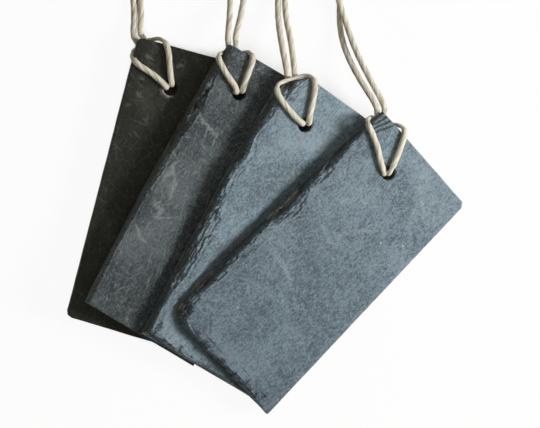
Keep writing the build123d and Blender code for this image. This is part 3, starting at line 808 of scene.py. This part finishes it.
def slateFace(finish, label, turned, grains):
    # The whole face: dark and middle tones by the grains, with pale patches, fibres, smudges and scars, and
    # painted shade that darkens it towards its low end
    look = slateLook
    dark, middle, pale = [(*tone, 1) for tone in label["tones"]]
    depth = sum(share * grains[name] for name, share in look["depthShares"].items())
    colour = finish.blend(finish.ramp(depth, look["depthStops"]), dark, middle)
    colour = finish.blend(finish.ramp(grains["patch"], look["patchStops"]), colour, pale)
    for angle, stretch, size, low, high in look["fibres"]:
        fibre = finish.grain(finish.drawn(turned, angle, stretch), size, *look["fibreGrain"])
        colour = finish.blend(finish.ramp(fibre, [(low, 0.0), (high, label["fibreShare"])]), colour, pale)
    gritty = finish.ramp(grains["speck"], look["gritStops"])
    colour = finish.blend(finish.ramp(grains["smudge"], look["smudgeStops"]) * gritty, colour, pale)
    # pale scars are wear, apart from label 1's arc round its hole, which is a painted highlight
    scar = finish.attribute("scar") * label["scarShare"] * (look["scarLeast"] + look["scarGrit"] * gritty)
    colour = finish.blend(scar, colour, pale)
    # painted shade: the face darkens towards its low end
    return finish.blend(finish.attribute("low") * label["lowPaintedShade"], colour, look["lowShadeTone"], "MULTIPLY")


def slateFinish(label):
    material, finish, shader = newMaterial(f"slateFace{label['number']}")
    look = slateLook
    turned, grains = slateGrains(finish, label)
    colour = slateFace(finish, label, turned, grains)
    cells = {"Vector": turned, "Scale": look["fleckCells"]}
    spot = finish.ramp(finish.node("ShaderNodeTexVoronoi", None, cells, "Distance"), look["fleckStops"])
    picked = finish.ramp(finish.node("ShaderNodeTexVoronoi", None, cells, "Color"), look["fleckPick"])
    colour = finish.blend(spot * picked, colour, look["fleckTone"])
    # chipped edges and walls: the broken stone's own darker brown, deepened towards black as painted shade
    chipAndShadeTone = finish.blend(finish.ramp(grains["streak"], look["chipStops"]), *look["chipAndShadeTones"])
    colour = finish.blend(finish.attribute("chip") * look["chipAndShadeShare"], colour, chipAndShadeTone)
    # dark lines: painted shade on risers and in flake hollows, over the cracks' own dark
    colour = finish.blend(finish.attribute("seam") * look["seamAndShadeShare"], colour, look["seamAndShadeTone"])
    # painted highlight on the lamp-facing side of the hole's rim
    colour = finish.blend(finish.attribute("rim"), colour, look["rimHighlightTone"])
    finish.feed(shader.inputs["Base Color"], colour)
    finish.feed(shader.inputs["Roughness"], look["roughness"] + look["roughnessVary"] * grains["mottle"])
    shader.inputs["Specular IOR Level"].default_value = look["gloss"]
    height = sum(share * grains[name] for name, share in look["bumpShares"].items())
    finish.bump(shader, height, look["bumpStrength"], look["bumpDepth"])
    return material


# Cotton cord: its grains run along the lay of the plies
cordLook = {
    "drawnOut": 0.07,
    "fibre": (2600, 3.0, 0.6), "strand": (1300, 2.0, 0.5), "stain": (70, 3.0, 0.6),
    "grooveShadeShare": 0.14, "fibreShare": 0.4, "strandShare": 0.5,
    "tanStops": [(0.39, 0.0), (0.72, 1.0)], "stainStops": [(0.5, 0.0), (0.75, 0.4)],
    "cream": (0.80, 0.77, 0.67, 1), "tan": (0.41, 0.34, 0.21, 1), "aged": (0.54, 0.47, 0.31, 1),
    "roughness": 0.9, "gloss": 0.2,
    "bumpFibre": 0.7, "bumpStrand": 0.6, "bumpStrength": 0.8, "bumpDepth": 0.0003,
}


def cordFinish():
    material, finish, shader = newMaterial("cottonCord")
    look = cordLook
    lay = finish.attribute("lay", "Vector")
    fine = finish.node("ShaderNodeMapping", None, {"Vector": lay, "Scale": (1, 1, look["drawnOut"])})
    fibre = finish.grain(fine, *look["fibre"])
    strand = finish.grain(fine, *look["strand"])
    stain = finish.grain(lay, *look["stain"])
    groove = finish.attribute("groove")
    # the grooves between the plies add painted shade towards tan; fibre and strand grain are the cord's own
    depth = groove * look["grooveShadeShare"] + fibre * look["fibreShare"] + strand * look["strandShare"]
    colour = finish.blend(finish.ramp(depth, look["tanStops"]), look["cream"], look["tan"])
    colour = finish.blend(finish.ramp(stain, look["stainStops"]), colour, look["aged"])
    finish.feed(shader.inputs["Base Color"], colour)
    shader.inputs["Roughness"].default_value = look["roughness"]
    shader.inputs["Specular IOR Level"].default_value = look["gloss"]
    height = fibre * look["bumpFibre"] + strand * look["bumpStrand"]
    finish.bump(shader, height, look["bumpStrength"], look["bumpDepth"])
    return material


for label in labels:
    makeSlate(label)
print("slates made")


# Cords: a smooth line led by given points, and a twisted rope along it
cordMaterial = cordFinish()


def smoothLine(points, steps):
    curve = bpy.data.curves.new("cordLine", "CURVE")
    curve.dimensions = "3D"
    spline = curve.splines.new("NURBS")
    spline.points.add(len(points) - 1)
    for point, place in zip(spline.points, points):
        point.co = (*place, 1)
    spline.order_u = 3
    spline.use_endpoint_u = True
    spline.resolution_u = steps
    carrier = bpy.data.objects.new("cordLine", curve)
    mesh = bpy.data.meshes.new_from_object(carrier)
    line = [vert.co.copy() for vert in mesh.vertices]
    bpy.data.meshes.remove(mesh)
    bpy.data.objects.remove(carrier)
    bpy.data.curves.remove(curve)
    return line


def makeRope(name, line, startTurn=0.0, widths=None):
    # A soft ring of plies drawn along the line, twisting as it goes
    radius = cordSet["radius"] * milli
    widths = widths or [1.0] * len(line)
    shape = bmesh.new()
    turnLayer = shape.verts.layers.float.new("turn")
    grooveLayer = shape.verts.layers.float.new("groove")
    layLayer = shape.verts.layers.float_vector.new("lay")
    ring = bmesh.ops.create_circle(shape, segments=cordSet["ringPoints"], radius=1.0)["verts"]
    for vert in ring:
        vert[turnLayer] = math.atan2(vert.co.y, vert.co.x)
    edges = shape.edges[:]
    ahead = (line[1] - line[0]).normalized()
    side = ahead.orthogonal().normalized()
    run = 0.0
    for index, place in enumerate(line):
        if index:
            run += (place - line[index - 1]).length
            after = line[min(index + 1, len(line) - 1)]
            following = (after - line[index - 1]).normalized()
            side = ahead.rotation_difference(following) @ side
            ahead = following
            grown = bmesh.ops.extrude_edge_only(shape, edges=edges)["geom"]
            ring = [g for g in grown if isinstance(g, bmesh.types.BMVert)]
            fresh = set(ring)
            edges = [g for g in grown if isinstance(g, bmesh.types.BMEdge)
                     and g.verts[0] in fresh and g.verts[1] in fresh]
        if index in (0, len(line) - 1):
            bmesh.ops.contextual_create(shape, geom=edges)
        up = ahead.cross(side)
        twist = startTurn + 2 * math.pi * run / (cordSet["layLength"] * milli)
        for vert in ring:
            turn = vert[turnLayer]
            lobe = abs(math.cos(cordSet["plies"] * (turn - twist) / 2))
            groove = (1 - lobe) ** 2
            reach = radius * widths[index] * (cordSet["fullness"] - cordSet["grooveDepth"] * groove)
            vert.co = place + (side * math.cos(turn) + up * math.sin(turn)) * reach
            vert[grooveLayer] = groove
            vert[layLayer] = (reach * math.cos(turn - twist), reach * math.sin(turn - twist), run)
    bmesh.ops.recalc_face_normals(shape, faces=shape.faces)
    for face in shape.faces:
        face.smooth = len(face.verts) == 4  # not the flat ends
    piece = newPiece(name, shape, cordMaterial)
    return piece


def cornerDirections(label):
    holeX, holeY = label["hole"]
    outward = Vector((-holeX, holeY, 0)).normalized()
    across = Vector((holeY, holeX, 0)).normalized()
    return outward, across


def hitchEnd(label, side):
    outward, across = cornerDirections(label)
    middle = outward * label["exitOut"] + across * label["exitSide"]
    return middle + across * (side * cordSet["exitPair"] / 2) + Vector((0, 0, cordSet["backLevel"]))


def raised(place, level):
    return place + Vector((0, 0, level))


def hitchHalf(label, side):
    # From a strand's end under the corner, through the hole, over the face and round the edge
    outward, across = cornerDirections(label)
    out, aside, pair = label["seat"]
    seat = holePlace(label) + outward * out + across * (aside + side * pair / 2)
    back, front, step = cordSet["backLevel"], cordSet["frontLevel"], cordSet["holeStep"]
    through = [hitchEnd(label, side), raised(seat + outward * cordSet["backRun"], back)]
    through += [raised(seat, level) for level in (back, back + step, front - step, front)]
    return through + [Vector(place) for place in label["leftArm" if side < 0 else "topArm"]]


def edgeWidths(label, line):
    # The soft cord is squeezed in the hole and where it bends round an edge of the stone
    inverse = labelMatrix(label).inverted()
    hole = holePlace(label).xy
    widths = []
    for place in line:
        local = inverse @ place
        atHole = (local.xy - hole).length
        inside = smoothStep((stone["holeRadius"] + cordSet["holeMargin"] - atHole) / cordSet["holeFade"])
        width = 1 - (1 - label["holeWidth"]) * inside
        if atHole >= stone["holeRadius"]:
            under = smoothStep((cordSet["squeezeTop"] - local.z) / cordSet["squeezeTopFade"])
            over = smoothStep((local.z - cordSet["squeezeLow"]) / cordSet["squeezeLowFade"])
            width -= cordSet["squeeze"] * under * over
        widths.append(width)
    return widths


def makeHitch(label):
    number = label["number"]
    matrix = labelMatrix(label)
    local = hitchHalf(label, -1) + hitchHalf(label, 1)[::-1]
    line = smoothLine([matrix @ point for point in local], cordSet["hitchSteps"])
    piece = makeRope(f"hitch{number}", line, number, edgeWidths(label, line))
    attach(piece, f"label_{number}")
    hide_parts(f"hitch_{number}")


# Free strands in world millimetres, from the hitch to the knot. Swapped is -1 where the two cross.
loops = [
    {
        "left": [(-53.8, 85.2, 2.4), (-54.4, 94.8, 1.3), (-54.3, 107.8, 1.3), (-52.6, 120.8, 1.6)],
        "right": [(-50.9, 85.8, 2.4), (-51.4, 95.3, 1.3), (-51.3, 107.8, 1.3), (-49.8, 120.3, 1.6)],
        "knot": (-48.2, 140.8), "heading": 7.0, "swapped": 1, "lengths": (0.0655, 0.0635),
    },
    {
        "left": [(-14.3, 85.8, 7.4), (-14.0, 96.3, 3.0), (-13.5, 107.3, 1.3), (-12.0, 118.3, 1.6)],
        "right": [(-9.9, 85.2, 7.4), (-8.2, 95.3, 3.0), (-7.6, 106.8, 1.3), (-8.3, 117.8, 1.6)],
        "knot": (-9.2, 137.8), "heading": 4.0, "swapped": 1, "lengths": (0.0650, 0.0642),
    },
    {
        "left": [(7.0, 74.0, 11.6), (5.5, 84.8, 6.4), (5.6, 95.8, 2.2), (7.2, 106.8, 1.6)],
        "right": [(10.9, 75.3, 11.6), (8.6, 85.8, 6.4), (8.4, 96.3, 2.2), (10.5, 106.8, 1.6)],
        "knot": (11.6, 125.8), "heading": 7.0, "swapped": 1, "lengths": (0.0688, 0.0678),
    },
    {
        "left": [
            (39.6, 58.7, 12.4), (34.2, 69.0, 7.0), (31.2, 79.3, 2.2), (31.0, 90.8, 1.3), (32.4, 99.8, 1.6),
        ],
        "right": [
            (42.2, 61.6, 12.4), (36.8, 73.2, 7.4), (33.6, 83.3, 4.6), (30.2, 93.3, 4.6), (29.3, 101.8, 3.4),
        ],
        "knot": (31.2, 118.8), "heading": 3.0, "swapped": -1, "lengths": (0.0775, 0.0765),
    },
]
knotSet = {
    "level": 3.2, "length": 6.4, "entry": 8.0, "wrapRadius": 2.05, "crossLift": 3.3, "turnStep": 0.4,
    "tailLength": 11.0, "tailSplay": 2.6, "tailLevel": 1.3, "tailStart": -0.6, "tailBend": 0.45,
    "bendShare": 0.8,
}


def knotMatrix(loop):
    # X aside, Y along the loop, Z up, from the face that the strands enter
    turn = Matrix.Rotation(math.radians(-loop["heading"]), 4, "Z")
    place = Vector((*loop["knot"], knotSet["level"])) * milli
    return Matrix.Translation(place) @ turn @ Matrix.Scale(milli, 4)


def strandPoints(label, loop, side):
    matrix = labelMatrix(label)
    outward, _ = cornerDirections(label)
    end = hitchEnd(label, side)
    start = end + outward * (cordSet["radius"] + cordSet["jointGap"])
    entry = knotMatrix(loop)
    beside = side * loop["swapped"] * cordSet["pair"] / 2
    route = loop["left"] if side < 0 else loop["right"]
    points = [matrix @ end, matrix @ start]
    points += [Vector(point) * milli for point in route]
    points += [entry @ Vector((beside, -knotSet["entry"], 0)), entry @ Vector((beside, 0, 0))]
    return points


def makeKnot(number, loop):
    entry = knotMatrix(loop)
    steps = cordSet["knotSteps"]
    wrap = knotSet["wrapRadius"]
    long = knotSet["length"]
    band = [  # aside, a share of the knot's length, and up, as it winds round the pair of strands
        (0, 0.5, 0), (wrap, 0.72, -0.6), (0.4, 0.76, -wrap), (-wrap, 0.76, -0.3), (-0.6, 0.70, wrap + 0.3),
        (wrap + 0.2, 0.45, 0.8), (0.5, 0.30, -wrap), (-wrap, 0.24, -0.3), (-1.0, 0.26, wrap + 0.4),
        (1.6, 0.62, knotSet["crossLift"]), (wrap + 0.6, 0.92, 0.4), (0.6, 0.9, -0.8),
    ]
    points = [entry @ Vector((aside, share * long, up)) for aside, share, up in band]
    pieces = [makeRope(f"knot{number}", smoothLine(points, steps), knotSet["turnStep"] * number)]
    tail, share = knotSet["tailLength"], knotSet["bendShare"]
    drop = knotSet["tailLevel"] - knotSet["level"]
    for side, word in ((-1, "Left"), (1, "Right")):
        beside = side * cordSet["pair"] / 2
        splay = side * knotSet["tailSplay"]
        route = [
            (beside, knotSet["tailStart"], 0), (beside, long / 2, 0), (beside, long, 0),
            (splay * share, long + knotSet["tailBend"] * tail, drop * share), (splay, long + tail, drop),
        ]
        points = [entry @ Vector(point) for point in route]
        pieces.append(makeRope(f"tail{number}{word}", smoothLine(points, steps), side))
    for piece in pieces:
        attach(piece, f"loop_{number}")
    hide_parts(f"knot_{number}")
    return pieces


def makeLoop(label, loop):
    number = label["number"]
    knotPieces = makeKnot(number, loop)
    for side, word, length in zip((-1, 1), ("left", "right"), loop["lengths"]):
        points = strandPoints(label, loop, side)
        line = smoothLine(points, cordSet["strandSteps"])
        strand = makeRope(f"strand{number}{word.title()}", line, number + side)
        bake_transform(strand)
        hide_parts(f"loop_{number}_{word}")


for label, loop in zip(labels, loops):
    makeHitch(label)
    makeLoop(label, loop)
print("cords made")
